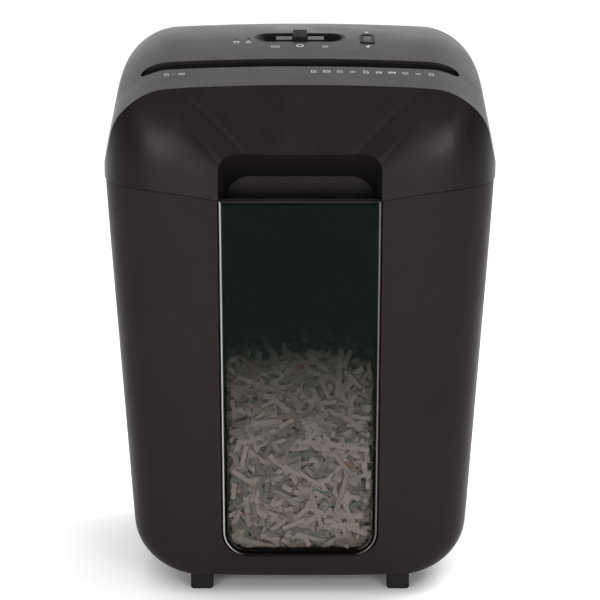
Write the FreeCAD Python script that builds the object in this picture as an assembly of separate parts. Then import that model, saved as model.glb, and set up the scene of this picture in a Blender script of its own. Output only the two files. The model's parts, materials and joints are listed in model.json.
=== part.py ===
import FreeCAD, Part
import os
from math import sin, cos, tan, atan2, pi, radians, sqrt

os.makedirs("parts", exist_ok=True)
V = FreeCAD.Vector
X, Y, Z = V(1, 0, 0), V(0, 1, 0), V(0, 0, 1)

# ---- driving dimensions, millimetres: X right, -Y front, Z up, origin under the middle ----
HALF_WIDTH = 147.4        # head, at the seam
FRONT_Y = -113.5          # front of the body at the seam, in the middle
BACK_Y = 110.0            # rear face of the body; the cord gland stands 3.5 mm proud of it
WALL = 2.6                # moulded wall
PLAN_POWER_FRONT = 5.0    # roundness of the plan outline, front and rear
PLAN_POWER_BACK = 8.0
FRONT_STEPS = 48           # points along the front and the rear of each plan outline
BACK_STEPS = 24
GAP = 0.3                 # air between bin and head along the seam

BASE_Z = 14.0             # underside of the bin
SEAM_Z = 312.2            # seam between bin and head, across the window
SEAM_SIDE_Z = 320.0       # seam at the sides
RECESS_HALF = 60.5        # half width of the front recess
HEAD_OVERHANG = 0.8       # the head stands this much outside the bin
SIDE_TAPER = 0.0624       # the bin narrows by this much per millimetre downward
BASE_ROUND = 32.0         # rounding of the bin's lower side corners

TOP_FRONT_Z = 394.0       # crest line of the top where it meets the front face
TOP_FRONT_Y = -93.0
TOP_SLOPE = 14.9          # degrees, forward slope of the top
TOP_CREST_R = 230.0       # the slope rounds over into the rear half
TOP_ARC_Y = -29.0         # the straight slope ends here

SLOT_Y = -54.5            # middle plane of the paper path
SLOT_HALF = 118.0
SLOT_MOUTH = 13.5
THROAT_HALF = 112.5
THROAT_GAP = 6.0
FUNNEL_Z = (389.6, 396.0)  # the mouth narrows to the throat between these levels
GUIDE_Z = (377.6, 388.6)  # underside of the guide, and of its wider upper part

POCKET_FRONT_Y = -103.0   # hand pocket: front outline
POCKET_HALF = 58.0
POCKET_TOP = 344.5
POCKET_CORNER = 24.0
POCKET_BACK_Y = -84.0     # and its rear wall
POCKET_BACK_HALF = 55.0
POCKET_BACK_TOP = 324.5
POCKET_BACK_CORNER = 18.0
LINER = 2.4
POCKET_SKIRT_Z = 301.0    # the rear wall reaches down into the bin

RECESS_LOW_Z = 31.0
RECESS_CORNER = 21.0
RECESS_DEPTH = 8.0
WINDOW_T = 5.5            # the window's front stands this far off the recess floor
WINDOW_EDGE_R = 3.2
WINDOW_HALF = 55.0        # half width of the opening behind the window
WINDOW_LOW_Z = 36.5       # its lower edge
WINDOW_CORNER = 14.0
WINDOW_HIGH_Z = 303.2

SHAFT_Z = 357.0
SHAFT_GAP = 30.0          # distance between the two cutter shafts
DISC_R = 17.6
DISC_T = 3.5
DISC_PITCH = 8.0
DISC_COUNT = 28
HEX_R = 8.0               # circumradius of the cutter shaft's hexagon
PLATE_X = 113.5           # inner face of each side plate
PLATE_T = 2.5
PLATE_LOW = 327.0
TRAY_Z = 321.0            # underside of the head tray
TRAY_T = 3.0
JOURNAL_R = 5.0
RUNNING = 0.04            # radial clearance of a running fit
ROD_AT = [(-87.0, 341.0), (-86.0, 371.0), (-22.0, 341.0), (-22.0, 371.0)]

PRESSURE = radians(20)
BACKLASH = 0.25
TIMING = (20, 1.5)        # teeth and module of each wheel
DRIVE = (40, 1.5)
SECOND_SMALL = (12, 1.5)
SECOND_LARGE = (36, 1.25)
FIRST_SMALL = (12, 1.25)
FIRST_LARGE = (46, 1.0)
PINION = (12, 1.0)
LAYER_1 = (117.5, 122.5)  # the three layers of the gear train along X
LAYER_2 = (123.3, 127.3)
LAYER_3 = (128.1, 132.1)
AXLE_R = 3.0
GEARBOX_X = (133.0, 134.6)

MOTOR_R = 28.0
MOTOR_X = (28.0, 104.0)

BED_HALF, BED_WIDTH = 34.5, 22.0
SLIDER_Y = -6.0
BED_FLOOR = 410.5
WING_TOP = BED_FLOOR + 2.3
SLIDER_TRAVEL = 9.0
WING_HALF, WING_SIDE = 18.3, 4.5
THUMB_HALF = 5.3
LOCK_X, LOCK_Y = 51.0, -8.0
LENS_X = (-48.0, -39.0)
LENS_Y = -8.0

RIB_TOP = 318.0           # rib on the bin that works the interlock plunger
PLUNGER_AT = (-100.0, 101.0)
LEVER_X = 20.0
LEVER_PIVOT = (-41.0, 392.0)

GLAND_AT = (-78.0, 336.0)
BOSS_AT = [(-131.0, -72.0), (131.0, -72.0), (-120.0, 92.0), (120.0, 92.0), (0.0, 100.0)]
PAD_AT = [(-108.5, -86.0), (-108.5, -23.0), (108.5, -86.0), (108.5, -23.0), (109.0, 78.0)]
BOARD = (-106.0, -24.0, 12.0, 82.0)
BOARD_Z = 340.0

FOOT_X = 75.7
FOOT_Y = (-78.0, 78.0)

HEAP_TOP = 196.0
HEAP_CRUST = 3.2

FAR = 200.0               # beyond the body on every side
CUT_Y = (-140.0, -60.0)   # blocks that cut the front wall reach from here to here
FOOT_HALF, FOOT_ROUND, FOOT_EDGE = 8.6, 3.0, 1.2
RIB_HALF, RIB_FRONT = 4.0, 3.0
RIB_BACK, RIB_BACK_UPPER = 6.0, 2.5
RIB_FOOT_Z = SEAM_Z - 27.0
LOCK_HOLE = (5.0, 9.0)
BEZEL_HALF = (5.6, 10.2)
BEZEL_NECK = (4.95, 8.95)
BEZEL_HOLE = (3.4, 8.0)
BEZEL_PROUD = 0.7
LENS_HOLE_R, LENS_R, LENS_BASE_R = 1.3, 1.25, 2.2
STEM_SLOT = (SLIDER_TRAVEL + 2.4, 1.9)
STEM_HALF = (2.0, 1.5)
BOSS_R, SCREW_R, SCREW_DEPTH = 4.2, 1.6, 14.0
SCREW_HOLE_R, SCREW_HEAD_R, SCREW_HEAD_T = 2.2, 3.6, 2.4
VENT_COUNT, VENT_FIRST, VENT_PITCH, VENT_WIDTH = 7, 30.0, 9.0, 4.0
VENT_Z = (345.0, 385.0)
GLAND_HOLE_R, GLAND_R, GLAND_BORE_R, GLAND_FLANGE_R = 5.3, 5.2, 3.6, 8.0
NUT_R, NUT_Y, NUT_T = 9.0, 102.2, 4.5
TRAY_HOLE = (-112.0, 112.0, -76.0, -32.0)
TRAY_RIM = 2.0
TRAY_NOTCH_HALF, TRAY_NOTCH_Y = 68.0, -80.5
LIP_INSET = (WALL + 1.8, WALL + 3.8)
PIN_R = 1.5
PLUNGER_R, COLLAR_R, PLUNGER_TOP = 2.6, 4.4, 346.0
COLLAR_Z = (334.5, 336.5)
SPRING_R = (4.2, 3.2)
SWITCH_Z = (345.0, 360.0)
PLUNGER_HOLE_R = 3.2
BEARING_R, ROD_R, ROD_HEAD_R = 6.5, 3.0, 3.4
FINGER_HALF_T, FINGER_HALF_Z, COMB_HALF_Z, COMB_T = 1.6, 5.0, 7.0, 2.4
TIMING_LAYER = (-122.5, -117.0)
POST_R, NECK_WALL = 2.4, 2.5
CAN_WALL, CAP_T = 2.0, 4.0
FAN_X = (13.0, 22.0)
FAN_R, FAN_HUB_R = 23.0, 7.0
SADDLE_X, SADDLE_T, SADDLE_HALF = (34.0, 88.0), 10.0, 20.0
BOARD_T, STANDOFF_R = 1.6, 3.0


# ---- small helpers ----
def export(name, shape):
    shape.exportStep("parts/" + name + ".step")
    print(name, len(shape.Solids), round(shape.Volume), shape.isValid())


def box(x0, x1, y0, y1, z0, z1):
    return Part.makeBox(x1 - x0, y1 - y0, z1 - z0, V(x0, y0, z0))


def rod(radius, start, end):
    axis = end - start
    return Part.makeCylinder(radius, axis.Length, start, axis)


def ring(outer, inner, start, end):
    return rod(outer, start, end).cut(rod(inner, start, end))


def prism(points, vector):
    wire = Part.makePolygon(points + [points[0]])
    return Part.Face(wire).extrude(vector)


def smooth(t):
    t = min(max(t, 0.0), 1.0)
    return t * t * (3 - 2 * t)


def stadium(half, width, y, z):
    """Horizontal slot outline with half-round ends, centred on x = 0."""
    r = width / 2
    s = half - r
    lines = [Part.LineSegment(V(-s, y - r, z), V(s, y - r, z)),
             Part.Arc(V(s, y - r, z), V(half, y, z), V(s, y + r, z)),
             Part.LineSegment(V(s, y + r, z), V(-s, y + r, z)),
             Part.Arc(V(-s, y + r, z), V(-half, y, z), V(-s, y - r, z))]
    return Part.Wire([edge.toShape() for edge in lines])


def slot_solid(half, width, y, z0, z1):
    return Part.Face(stadium(half, width, y, z0)).extrude(V(0, 0, z1 - z0))


# ---- outer form ----
def side_line(z):
    """Half width of the bin before its lower corners are rounded."""
    return HALF_WIDTH - HEAD_OVERHANG - SIDE_TAPER * (SEAM_Z - z)


def half_width(z, head):
    if head:
        return HALF_WIDTH
    width = side_line(min(z, SEAM_SIDE_Z))
    rise = z - BASE_Z
    if rise < BASE_ROUND:
        width -= BASE_ROUND - sqrt(BASE_ROUND**2 - (BASE_ROUND - rise)**2)
    return width


def front_depth(z, head):
    """Distance of the front face from the middle plane, at x = 0."""
    if head:
        return -FRONT_Y
    depth = -FRONT_Y - HEAD_OVERHANG - 0.033 * (SEAM_Z - z)
    lip = 4.0
    rise = z - BASE_Z
    if rise < lip:
        depth -= lip - sqrt(lip**2 - (lip - rise)**2)
    return depth


def back_depth(z, head):
    if head:
        return BACK_Y
    return BACK_Y - HEAD_OVERHANG - 0.024 * (SEAM_Z - z)


def centre_face_y(z):
    """The flat face between the crest line and the hand pocket."""
    return TOP_FRONT_Y - 0.2 * (TOP_FRONT_Z - z)


def front_y(x, z, a, inset, head):
    """Front surface: bulged plan outline, shoulders leaning back, sunk centre face."""
    b = front_depth(z, head) - inset
    ratio = min(abs(x) / a, 1.0)
    y = -b * (1 - ratio**PLAN_POWER_FRONT)**(1 / PLAN_POWER_FRONT)
    if head:
        lean_start, lean_height, lean_depth = 335.0, 57.0, 18.0
        if z > lean_start:
            y += lean_depth * ((z - lean_start) / lean_height)**2 * (1 - ratio**6)
        edge = 50.0 + 45.0 * (z - POCKET_TOP) / (TOP_FRONT_Z - POCKET_TOP)
        y += smooth((edge + 9 - abs(x)) / 18) * (centre_face_y(z) + inset - y)
    else:
        edge = 58.0 + 0.8 * (34.0 - z)
        y += 6.0 * smooth((edge + 9 - abs(x)) / 18) * smooth((50.0 - z) / 14)
    return y


def plan_points(z, head, inset):
    """Closed horizontal outline of the body at height z."""
    a = half_width(z, head) - inset
    back = back_depth(z, head) - inset
    points = []
    for i in range(FRONT_STEPS):
        x = a * sin(-pi / 2 + pi * i / FRONT_STEPS)
        points.append(V(x, front_y(x, z, a, inset, head), z))
    for i in range(BACK_STEPS):
        x = a * sin(pi / 2 - pi * i / BACK_STEPS)
        ratio = min(abs(x) / a, 1.0)
        y = back * (1 - ratio**PLAN_POWER_BACK)**(1 / PLAN_POWER_BACK)
        points.append(V(x, y, z))
    return points


def body_solid(heights, head, inset=0.0):
    """Smooth closed body: a cubic surface over the outlines, flat at both ends."""
    rows = [plan_points(z, head, inset) for z in heights]
    poles = [[row[i] for row in rows] for i in range(len(rows[0]))]
    count_u, count_v = len(poles), len(heights)
    inner = count_v - 4
    surface = Part.BSplineSurface()
    surface.buildFromPolesMultsKnots(poles, [1] * (count_u + 1), [4] + [1] * inner + [4],
                                     range(count_u + 1), range(inner + 2), True, False, 3, 3)
    quarter = count_u // 4
    sides = []
    for k in range(4):
        patch = surface.copy()
        patch.segment(k * quarter, (k + 1) * quarter, 0, inner + 1)
        sides.append(patch.toShape())
    caps = []
    for z in (heights[0], heights[-1]):
        rim = [e for side in sides for e in side.Edges
               if abs(e.BoundBox.ZMin - z) < 1e-3 and abs(e.BoundBox.ZMax - z) < 1e-3]
        caps.append(Part.Face(Part.Wire(Part.sortEdges(rim)[0])))
    shell = Part.Shell(sides + caps)
    shell.sewShape()
    solid = Part.Solid(shell)
    if solid.Volume < 0:
        solid.reverse()
    return solid


def top_z(y):
    """Height of the top's middle line."""
    slope = radians(TOP_SLOPE)
    if y < TOP_ARC_Y:
        return TOP_FRONT_Z + (y - TOP_FRONT_Y) * tan(slope)
    start = TOP_FRONT_Z + (TOP_ARC_Y - TOP_FRONT_Y) * tan(slope)
    middle_y = TOP_ARC_Y + TOP_CREST_R * sin(slope)
    middle_z = start - TOP_CREST_R * cos(slope)
    return middle_z + sqrt(TOP_CREST_R**2 - (y - middle_y)**2)


def band_wire(y, inset=0.0):
    """Cross-section of the top band: crown, round corners, sides leaning in."""
    z = top_z(y) - inset
    lean = radians(12.2)
    crown_x, crown_drop = 95.5, 2.3
    corner_r = 46.8 - inset
    tilt = radians(3.0)
    cx = crown_x - corner_r * sin(tilt)
    cz = z - crown_drop - corner_r * cos(tilt)
    end_x = cx + corner_r * cos(lean)
    end_z = cz + corner_r * sin(lean)
    mid = radians(90 - 3.0) / 2 + lean / 2
    side_x = HALF_WIDTH + 0.1 - inset
    blend_z = end_z - (side_x - 1.35 - end_x) / tan(lean)
    low_z = 250.0
    right = [(crown_x, z - crown_drop), (cx + corner_r * cos(mid), cz + corner_r * sin(mid)),
             (end_x, end_z), (side_x - 1.35, blend_z), (side_x - 0.35, blend_z - 11.0),
             (side_x, blend_z - 24.0)]
    r = [V(px, y, pz) for px, pz in right]
    l = [V(-px, y, pz) for px, pz in right]
    edges = [Part.Arc(l[0], V(0, y, z), r[0]), Part.Arc(r[0], r[1], r[2]), Part.LineSegment(r[2], r[3]),
             Part.Arc(r[3], r[4], r[5]), Part.LineSegment(r[5], V(side_x, y, low_z)),
             Part.LineSegment(V(side_x, y, low_z), V(-side_x, y, low_z)),
             Part.LineSegment(V(-side_x, y, low_z), l[5]), Part.Arc(l[5], l[4], l[3]),
             Part.LineSegment(l[3], l[2]), Part.Arc(l[2], l[1], l[0])]
    return Part.Wire([edge.toShape() for edge in edges])


def band_solid(inset=0.0):
    stations = [-130.0 + 20.0 * i for i in range(14)]
    return Part.makeLoft([band_wire(y, inset) for y in stations], True, False)


def seam_solid(z_shift, z_end):
    """Everything between the seam surface and a level, as a block through the whole body."""
    s, w = RECESS_HALF + 0.5, 160.0
    z0, z1 = SEAM_Z + z_shift, SEAM_SIDE_Z + z_shift
    mid = (92.0, SEAM_Z + 4.7 + z_shift)
    side = HALF_WIDTH + 0.2
    edges = [Part.LineSegment(V(-s, -160, z0), V(s, -160, z0)),
             Part.Arc(V(s, -160, z0), V(mid[0], -160, mid[1]), V(side, -160, z1)),
             Part.LineSegment(V(side, -160, z1), V(w, -160, z1)),
             Part.LineSegment(V(w, -160, z1), V(w, -160, z_end)),
             Part.LineSegment(V(w, -160, z_end), V(-w, -160, z_end)),
             Part.LineSegment(V(-w, -160, z_end), V(-w, -160, z1)),
             Part.LineSegment(V(-w, -160, z1), V(-side, -160, z1)),
             Part.Arc(V(-side, -160, z1), V(-mid[0], -160, mid[1]), V(-s, -160, z0))]
    return Part.Face(Part.Wire([edge.toShape() for edge in edges])).extrude(V(0, 320, 0))


BIN_LEVELS = [BASE_Z + BASE_ROUND * (1 - cos(radians(90 * i / 9))) for i in range(10)]
BIN_LEVELS += [75, 100, 140, 185, 230, 280, 330]
HEAD_LEVELS = [300 + 7.5 * i for i in range(18)]


def bin_block(inset=0.0):
    return body_solid(BIN_LEVELS, False, inset)


def head_block(inset=0.0):
    return body_solid(HEAD_LEVELS, True, inset).common(band_solid(inset))


# ---- front recess, window and hand pocket ----
def recess_plane_y(z, depth):
    """A plane that follows the bin's leaning front, this deep behind it."""
    return -front_depth(z, False) + depth


def front_slab(depth_front, depth_back, z0=BASE_Z + 5, z1=340.0):
    """Slab across the front between two such planes."""
    points = [V(-90, recess_plane_y(z0, depth_front), z0), V(-90, recess_plane_y(z0, depth_back), z0),
              V(-90, recess_plane_y(z1, depth_back), z1), V(-90, recess_plane_y(z1, depth_front), z1)]
    return prism(points, V(180, 0, 0))


def upright_outline(half_top, half_low, z_top, z_low, corner, y0, y1):
    """U-shaped panel with round lower corners, extruded from y0 to y1."""
    k = corner * (1 - 1 / sqrt(2))
    pts = [V(half_top, y0, z_top), V(half_low, y0, z_low + corner), V(half_low - k, y0, z_low + k),
           V(half_low - corner, y0, z_low)]
    m = [V(-q.x, q.y, q.z) for q in pts]
    edges = [Part.LineSegment(pts[0], pts[1]), Part.Arc(pts[1], pts[2], pts[3]),
             Part.LineSegment(pts[3], m[3]), Part.Arc(m[3], m[2], m[1]), Part.LineSegment(m[1], m[0]),
             Part.LineSegment(m[0], pts[0])]
    return Part.Face(Part.Wire([edge.toShape() for edge in edges])).extrude(V(0, y1 - y0, 0))


def recess_cut():
    shape = upright_outline(RECESS_HALF, RECESS_HALF - 0.9, 340.0, RECESS_LOW_Z, RECESS_CORNER, *CUT_Y)
    return shape.common(front_slab(-30.0, RECESS_DEPTH))


def make_window():
    outline = upright_outline(RECESS_HALF - 1.1, RECESS_HALF - 2.0, SEAM_Z - 0.8, RECESS_LOW_Z + 1.1,
                              RECESS_CORNER - 1.1, *CUT_Y)
    panel = outline.common(front_slab(RECESS_DEPTH - WINDOW_T, RECESS_DEPTH - 0.05))
    front_y_low = recess_plane_y(RECESS_LOW_Z, RECESS_DEPTH - WINDOW_T)
    rim = [edge for edge in panel.Edges if edge.BoundBox.YMax < recess_plane_y(edge.BoundBox.ZMin, 0.0)
           + RECESS_DEPTH - WINDOW_T + 0.6 and edge.BoundBox.YMin < front_y_low + 0.2]
    panel = panel.makeFillet(WINDOW_EDGE_R, rim)
    pocket = upright_outline(WINDOW_HALF, WINDOW_HALF, WINDOW_HIGH_Z, WINDOW_LOW_Z, WINDOW_CORNER, *CUT_Y)
    return panel.cut(pocket.common(front_slab(RECESS_DEPTH - WINDOW_T + 2.4, 30.0)))


def make_bin_shell():
    outer = bin_block().common(seam_solid(-GAP, 0.0))
    backing = upright_outline(RECESS_HALF + WALL, RECESS_HALF + WALL - 0.9, 340.0, RECESS_LOW_Z - WALL,
                              RECESS_CORNER, *CUT_Y).common(front_slab(-30.0, RECESS_DEPTH + WALL))
    floor = box(-FAR, FAR, -FAR, FAR, 0, BASE_Z + WALL)
    inner = bin_block(WALL).cut(backing).cut(floor)
    shell = outer.cut(inner).cut(recess_cut())
    opening = upright_outline(WINDOW_HALF, WINDOW_HALF, WINDOW_HIGH_Z, WINDOW_LOW_Z, WINDOW_CORNER, *CUT_Y)
    shell = shell.cut(opening.common(front_slab(-5.0, 20.0)))
    x, y = PLUNGER_AT
    foot = box(x - RIB_HALF, x + RIB_HALF, y - RIB_FRONT, y + RIB_BACK, RIB_FOOT_Z, SEAM_Z - 0.5)
    rib = box(x - RIB_HALF, x + RIB_HALF, y - RIB_FRONT, y + RIB_BACK_UPPER, SEAM_Z - 5, RIB_TOP)
    return shell.fuse(foot.fuse(rib))


def pocket_outline(half, top, corner, y, low):
    k = corner * (1 - 1 / sqrt(2))
    pts = [V(half, y, low), V(half, y, top - corner), V(half - k, y, top - k), V(half - corner, y, top)]
    m = [V(-q.x, q.y, q.z) for q in pts]
    edges = [Part.LineSegment(pts[0], pts[1]), Part.Arc(pts[1], pts[2], pts[3]),
             Part.LineSegment(pts[3], m[3]), Part.Arc(m[3], m[2], m[1]), Part.LineSegment(m[1], m[0]),
             Part.LineSegment(m[0], pts[0])]
    return Part.Wire([edge.toShape() for edge in edges])


def pocket_solid(grow=0.0, low=300.0):
    """The hand pocket narrows to its rear wall; grow makes the liner around it."""
    grade = (POCKET_TOP - POCKET_BACK_TOP) / (POCKET_BACK_Y - POCKET_FRONT_Y)
    side = (POCKET_HALF - POCKET_BACK_HALF) / (POCKET_BACK_Y - POCKET_FRONT_Y)
    ahead = 20.0
    front = pocket_outline(POCKET_HALF + side * ahead + grow, POCKET_TOP + grade * ahead + grow,
                           POCKET_CORNER, POCKET_FRONT_Y - ahead, low)
    rear = pocket_outline(POCKET_BACK_HALF + grow, POCKET_BACK_TOP + grow, POCKET_BACK_CORNER,
                          POCKET_BACK_Y + grow, low)
    return Part.makeLoft([front, rear], True, True)


# ---- bin ----
def make_foot(x, y):
    """Foot with a rounded lower edge and a flange against the bin's underside."""
    outline = box(x - FOOT_HALF, x + FOOT_HALF, y - FOOT_HALF, y + FOOT_HALF, 0, BASE_Z)
    upright = [e for e in outline.Edges if abs(e.BoundBox.ZMax - e.BoundBox.ZMin) > 5]
    outline = outline.makeFillet(FOOT_ROUND, upright)
    low = [e for e in outline.Edges if e.BoundBox.ZMax < 0.01]
    return outline.makeFillet(FOOT_EDGE, low)


def make_heap():
    """Loose shreds as one closed crust: its wall holds as much paper as the bin does."""
    room = bin_block(WALL + 1.0)
    backing = upright_outline(RECESS_HALF + WALL + 1, RECESS_HALF + WALL + 0.1, 340.0,
                              RECESS_LOW_Z - WALL - 1, RECESS_CORNER, *CUT_Y)
    room = room.cut(backing.common(front_slab(-30.0, RECESS_DEPTH + WALL + 0.8)))
    heap = room.common(box(-FAR, FAR, -FAR, FAR, BASE_Z + WALL + 0.3, HEAP_TOP))
    core = bin_block(WALL + 1.0 + HEAP_CRUST)
    core = core.common(box(-FAR, FAR, FRONT_Y + RECESS_DEPTH + 14, FAR, BASE_Z + WALL + 0.3 + HEAP_CRUST,
                           HEAP_TOP - HEAP_CRUST))
    return heap.cut(core)


# ---- head: covers ----
def lock_block(dx, dy, z0, inset, r=2.5):
    """Upright rounded block at the lock, topped parallel to the cover's surface."""
    block = box(LOCK_X - dx, LOCK_X + dx, LOCK_Y - dy, LOCK_Y + dy, z0, 440)
    block = block.makeFillet(r, [e for e in block.Edges if e.BoundBox.ZMax - e.BoundBox.ZMin > 5])
    return block.common(band_solid(inset))


def make_head_cover():
    outer = head_block().common(seam_solid(GAP, 440.0)).cut(pocket_solid())
    outer = outer.cut(slot_solid(SLOT_HALF, SLOT_MOUTH, SLOT_Y, 380, 440))
    shell = outer.cut(head_block(WALL).cut(pocket_solid(LINER)))
    half = POCKET_BACK_HALF + LINER
    skirt = box(-half, half, POCKET_BACK_Y, POCKET_BACK_Y + LINER, POCKET_SKIRT_Z, SEAM_Z + 4)
    shell = shell.fuse(skirt)
    shell = shell.cut(slot_solid(BED_HALF, BED_WIDTH, SLIDER_Y, 400, 440))
    dx, dy = LOCK_HOLE
    shell = shell.cut(box(LOCK_X - dx, LOCK_X + dx, LOCK_Y - dy, LOCK_Y + dy, 400, 440))
    for x in LENS_X:
        shell = shell.cut(rod(LENS_HOLE_R, V(x, LENS_Y, 400), V(x, LENS_Y, 440)))
    gx, gz = GLAND_AT
    shell = shell.cut(rod(GLAND_HOLE_R, V(gx, 95, gz), V(gx, 125, gz)))
    vents = []
    for i in range(VENT_COUNT):
        x = VENT_FIRST + VENT_PITCH * i
        vents.append(box(x, x + VENT_WIDTH, 95, 125, *VENT_Z))
    shell = shell.cut(Part.makeCompound(vents))
    for x, y in BOSS_AT:
        boss = rod(BOSS_R, V(x, y, TRAY_Z + TRAY_T + 0.1), V(x, y, 430)).common(head_block(WALL - 0.4))
        shell = shell.fuse(boss).cut(rod(SCREW_R, V(x, y, 315), V(x, y, TRAY_Z + TRAY_T + SCREW_DEPTH)))
    return shell


def make_head_tray():
    body = body_solid(HEAD_LEVELS, True, WALL + 0.4)
    plate = body.common(box(-FAR, FAR, -FAR, FAR, TRAY_Z, TRAY_Z + TRAY_T))
    lip = body_solid(HEAD_LEVELS[:8], True, LIP_INSET[0])
    lip = lip.common(box(-FAR, FAR, -FAR, FAR, SEAM_Z - 4, TRAY_Z))
    lip = lip.cut(body_solid(HEAD_LEVELS[:8], True, LIP_INSET[1]))
    px, py = PLUNGER_AT
    lip = lip.cut(box(-72, 72, -140, -60, 300, 330)).cut(box(px - 7, px + 7, 90, 130, 300, 330))
    tray = plate.fuse(lip)
    tray = tray.cut(box(-TRAY_NOTCH_HALF, TRAY_NOTCH_HALF, CUT_Y[0], TRAY_NOTCH_Y, 300, 330))
    hx0, hx1, hy0, hy1 = TRAY_HOLE
    hole = box(hx0, hx1, hy0, hy1, 300, 340)
    rim = box(hx0 - TRAY_RIM, hx1 + TRAY_RIM, hy0 - TRAY_RIM, hy1 + TRAY_RIM, TRAY_Z + TRAY_T - 0.5,
              TRAY_Z + TRAY_T + TRAY_RIM)
    tray = tray.fuse(rim).cut(hole)
    x0, x1, y0, y1 = BOARD
    for x in (x0 + 5, x1 - 5):
        for y in (y0 + 5, y1 - 5):
            tray = tray.fuse(rod(STANDOFF_R, V(x, y, TRAY_Z + 1), V(x, y, BOARD_Z)))
    for x, y in BOSS_AT:
        tray = tray.cut(rod(SCREW_HOLE_R, V(x, y, 300), V(x, y, 330)))
    return tray.cut(rod(PLUNGER_HOLE_R, V(px, py, 300), V(px, py, 330)))


def make_slot_guide():
    mouth = slot_solid(SLOT_HALF + 2, SLOT_MOUTH + 4, SLOT_Y, GUIDE_Z[1], 430)
    throat = slot_solid(THROAT_HALF + 2, THROAT_GAP + 4, SLOT_Y, GUIDE_Z[0], GUIDE_Z[1] + 0.5)
    body = mouth.fuse(throat).common(head_block(WALL + 0.05))
    funnel = Part.makeLoft([stadium(SLOT_HALF, SLOT_MOUTH, SLOT_Y, FUNNEL_Z[1]),
                            stadium(THROAT_HALF, THROAT_GAP, SLOT_Y, FUNNEL_Z[0])], True, True)
    body = body.cut(slot_solid(SLOT_HALF, SLOT_MOUTH, SLOT_Y, FUNNEL_Z[1], 440)).cut(funnel)
    body = body.cut(slot_solid(THROAT_HALF, THROAT_GAP, SLOT_Y, 370, FUNNEL_Z[0]))
    y, z = LEVER_PIVOT
    for x in (LEVER_X - 6, LEVER_X + 3.5):
        body = body.fuse(box(x, x + 2.5, y - 5.5, y + 3.5, z - 4, z + 4))
    body = body.cut(rod(PIN_R, V(LEVER_X - 10, y, z), V(LEVER_X + 10, y, z)))
    return body.cut(box(LEVER_X - 2.5, LEVER_X + 2.5, SLOT_Y + 1, y - 3, 370, 397))


def make_slider_bed():
    collar = slot_solid(BED_HALF - 0.05, BED_WIDTH - 0.1, SLIDER_Y, 405, 440).common(band_solid(0.3))
    flange = slot_solid(BED_HALF + 3, BED_WIDTH + 6, SLIDER_Y, 407, 440).common(band_solid(WALL + 0.05))
    dish = Part.makeLoft([stadium(BED_HALF - 5, 16.0, SLIDER_Y, BED_FLOOR),
                          stadium(BED_HALF - 1.2, BED_WIDTH - 2.0, SLIDER_Y, 417.5)], True, True)
    dish = dish.fuse(slot_solid(BED_HALF - 1.2, BED_WIDTH - 2.0, SLIDER_Y, 417.5, 440))
    bed = collar.fuse(flange).cut(dish)
    bed = bed.cut(box(-FAR, FAR, -FAR, FAR, 380, BED_FLOOR - 2.2))
    half, side = STEM_SLOT
    return bed.cut(box(-half, half, SLIDER_Y - side, SLIDER_Y + side, 400, 420))


def make_lock_bezel():
    bezel = lock_block(*BEZEL_HALF, 405, -BEZEL_PROUD)
    dx, dy = BEZEL_HOLE
    bezel = bezel.cut(box(LOCK_X - dx, LOCK_X + dx, LOCK_Y - dy, LOCK_Y + dy, 400, 440))
    wide = box(LOCK_X - 20, LOCK_X + 20, LOCK_Y - 20, LOCK_Y + 20, 400, 440).cut(band_solid(0.0))
    dx, dy = BEZEL_NECK
    inside = box(LOCK_X - dx, LOCK_X + dx, LOCK_Y - dy, LOCK_Y + dy, 405, 440)
    return bezel.common(wide.fuse(inside))


def make_lens(x):
    lens = rod(LENS_R, V(x, LENS_Y, 406), V(x, LENS_Y, 440)).common(band_solid(-0.2))
    return lens.fuse(rod(LENS_BASE_R, V(x, LENS_Y, 405), V(x, LENS_Y, 408)))


# ---- head: controls ----
def make_control_slider():
    """Sliding plate under the thumb piece, with the stem that works the switch."""
    y = SLIDER_Y
    wings = box(-WING_HALF, WING_HALF, y - WING_SIDE, y + WING_SIDE, BED_FLOOR + 0.3, WING_TOP)
    dx, dy = STEM_HALF
    return wings.fuse(box(-dx, dx, y - dy, y + dy, 402.0, BED_FLOOR + 1.0))


def make_slider_thumb():
    """Thumb piece, highest at the rear and leaning towards the user."""
    y, x = SLIDER_Y, -THUMB_HALF
    side = [V(x, y - 7.5, WING_TOP), V(x, y + 7.5, WING_TOP), V(x, y + 7.5, BED_FLOOR + 10.0),
            V(x, y + 3.5, BED_FLOOR + 10.5), V(x, y - 6.5, BED_FLOOR + 7.0), V(x, y - 7.5, BED_FLOOR + 6.0)]
    return prism(side, V(2 * THUMB_HALF, 0, 0))


def make_mode_switch():
    body = box(-17, 17, SLIDER_Y - 7, SLIDER_Y + 7, 396, 405)
    half, side = STEM_SLOT
    return body.cut(box(-half, half, SLIDER_Y - side, SLIDER_Y + side, 400, 410))


def make_lock_button():
    button = lock_block(3.1, 6.2, 404, -0.4, 0.8)
    button.translate(V(0, -1.5, 0))
    return button


def make_lock_plate():
    return box(LOCK_X - 5.5, LOCK_X + 5.5, LOCK_Y - 9, LOCK_Y + 6, 402.2, 404.0)


# ---- head: cutting unit ----
def yz_plate(points, x0, x1):
    return prism([V(x0, y, z) for y, z in points], V(x1 - x0, 0, 0))


FRONT_SHAFT = (SLOT_Y - SHAFT_GAP / 2, SHAFT_Z)
REAR_SHAFT = (SLOT_Y + SHAFT_GAP / 2, SHAFT_Z)


def next_centre(start, wheel_a, wheel_b, angle):
    """Centre of the wheel that meshes with the one at start, in the given direction."""
    reach = (wheel_a[0] * wheel_a[1] + wheel_b[0] * wheel_b[1]) / 2
    return (start[0] + reach * cos(radians(angle)), start[1] + reach * sin(radians(angle)))


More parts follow.
